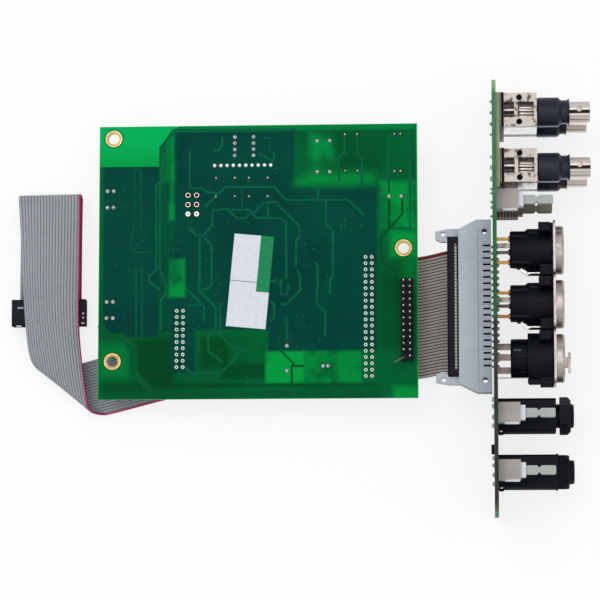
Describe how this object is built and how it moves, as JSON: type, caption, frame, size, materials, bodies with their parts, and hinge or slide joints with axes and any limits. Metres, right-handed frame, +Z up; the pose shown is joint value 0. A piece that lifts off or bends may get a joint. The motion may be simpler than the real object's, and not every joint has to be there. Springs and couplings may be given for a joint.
{
  "type": "ad converter card",
  "caption": "Audio converter card: main board solder side up, a ribbon cable to an upright panel board of phono, XLR and jack sockets, and a second free ribbon.",
  "frame": {"origin": "bottom centre of the card's box, measured without the free ribbon and its socket", "axes": "+X from the main board to the panel's sockets, the longest side; +Z up, out of the main board's solder side, the shortest side"},
  "size_m": [0.2353, 0.171, 0.044],
  "materials": {
    "board": "solder-masked fibreglass, satin",
    "copper": "bare tinned copper ring",
    "paper": "paper label, matt",
    "solder": "bright solder",
    "black_plastic": "black moulded plastic",
    "gold_pins": "gold plated",
    "grey_cable": "grey PVC ribbon cable",
    "can_sleeve": "dark shrink sleeve",
    "film_box": "red box film capacitor",
    "network": "dipped resistor network",
    "metal_can": "pressed metal can",
    "grey_plastic": "grey-beige moulded plastic",
    "white_plastic": "white moulded plastic",
    "nickel": "nickel plated",
    "tin": "tin plated"
  },
  "bodies": {
    "card": {"main_board": "board", "panel_board": "board", "hole_lands": "copper", "board_label": "paper", "solder_joints": "solder", "panel_solder_tails": "solder", "pin_strip_base": "black_plastic", "pin_strip_pins": "gold_pins", "header_40_shroud": "black_plastic", "header_40_pins": "gold_pins", "socket_40_body": "black_plastic", "socket_40_cover": "black_plastic", "header_20_shroud": "black_plastic", "header_20_pins": "gold_pins", "socket_20_body": "black_plastic", "socket_20_cover": "black_plastic", "tall_capacitors": "can_sleeve", "small_capacitors": "can_sleeve", "film_capacitors": "film_box", "resistor_network": "network", "oscillators": "metal_can", "eight_lead_chip": "black_plastic", "surface_chips": "black_plastic", "phono_spacer": "grey_plastic", "phono_base_1": "grey_plastic", "phono_base_2": "grey_plastic", "phono_frame_1": "nickel", "phono_frame_2": "nickel", "phono_sleeves": "black_plastic", "phono_barrels": "nickel", "phono_contacts": "white_plastic", "switch_cases": "grey_plastic", "switch_guides": "white_plastic", "xlr_1_shell": "nickel", "xlr_2_shell": "nickel", "xlr_3_shell": "nickel", "xlr_1_housing": "black_plastic", "xlr_2_housing": "black_plastic", "xlr_3_housing": "black_plastic", "xlr_pins": "gold_pins", "xlr_3_contacts": "tin", "xlr_ground_springs": "tin", "jack_1_body": "black_plastic", "jack_2_body": "black_plastic", "jack_nuts": "black_plastic", "ejector_shroud": "grey_plastic", "ejector_pins": "gold_pins", "panel_socket_body": "black_plastic", "panel_socket_cover": "black_plastic", "ribbon_40": "grey_cable", "ribbon_20": "grey_cable", "far_socket_body": "black_plastic", "far_socket_cover": "black_plastic"},
    "plunger_1": {"switch_plunger_1": "grey_plastic"},
    "plunger_2": {"switch_plunger_2": "grey_plastic"},
    "plunger_3": {"switch_plunger_3": "grey_plastic"},
    "plunger_4": {"switch_plunger_4": "grey_plastic"},
    "latch_button": {"xlr_3_latch": "nickel"},
    "ejector_upper": {"latch_upper": "grey_plastic"},
    "ejector_lower": {"latch_lower": "grey_plastic"}
  },
  "joints": [
    {"name": "plunger_1_press", "type": "slide", "parent": "card", "child": "plunger_1", "axis": [-1, 0, 0], "range_m": [0, 0.003], "stiffness_N_per_m": 300},
    {"name": "plunger_2_press", "type": "slide", "parent": "card", "child": "plunger_2", "axis": [-1, 0, 0], "range_m": [0, 0.003], "stiffness_N_per_m": 300},
    {"name": "plunger_3_press", "type": "slide", "parent": "card", "child": "plunger_3", "axis": [-1, 0, 0], "range_m": [0, 0.003], "stiffness_N_per_m": 300},
    {"name": "plunger_4_press", "type": "slide", "parent": "card", "child": "plunger_4", "axis": [-1, 0, 0], "range_m": [0, 0.003], "stiffness_N_per_m": 300},
    {"name": "latch_button_press", "type": "slide", "parent": "card", "child": "latch_button", "axis": [-1, 0, 0], "range_m": [0, 0.002], "stiffness_N_per_m": 300},
    {"name": "ejector_upper_swing", "type": "hinge", "parent": "card", "child": "ejector_upper", "pos_m": [0.0569, 0.02745, 0.022], "axis": [0, 0, -1], "range_deg": [0, 30]},
    {"name": "ejector_lower_swing", "type": "hinge", "parent": "card", "child": "ejector_lower", "pos_m": [0.0569, -0.03235, 0.022], "axis": [0, 0, 1], "range_deg": [0, 30]}
  ]
}
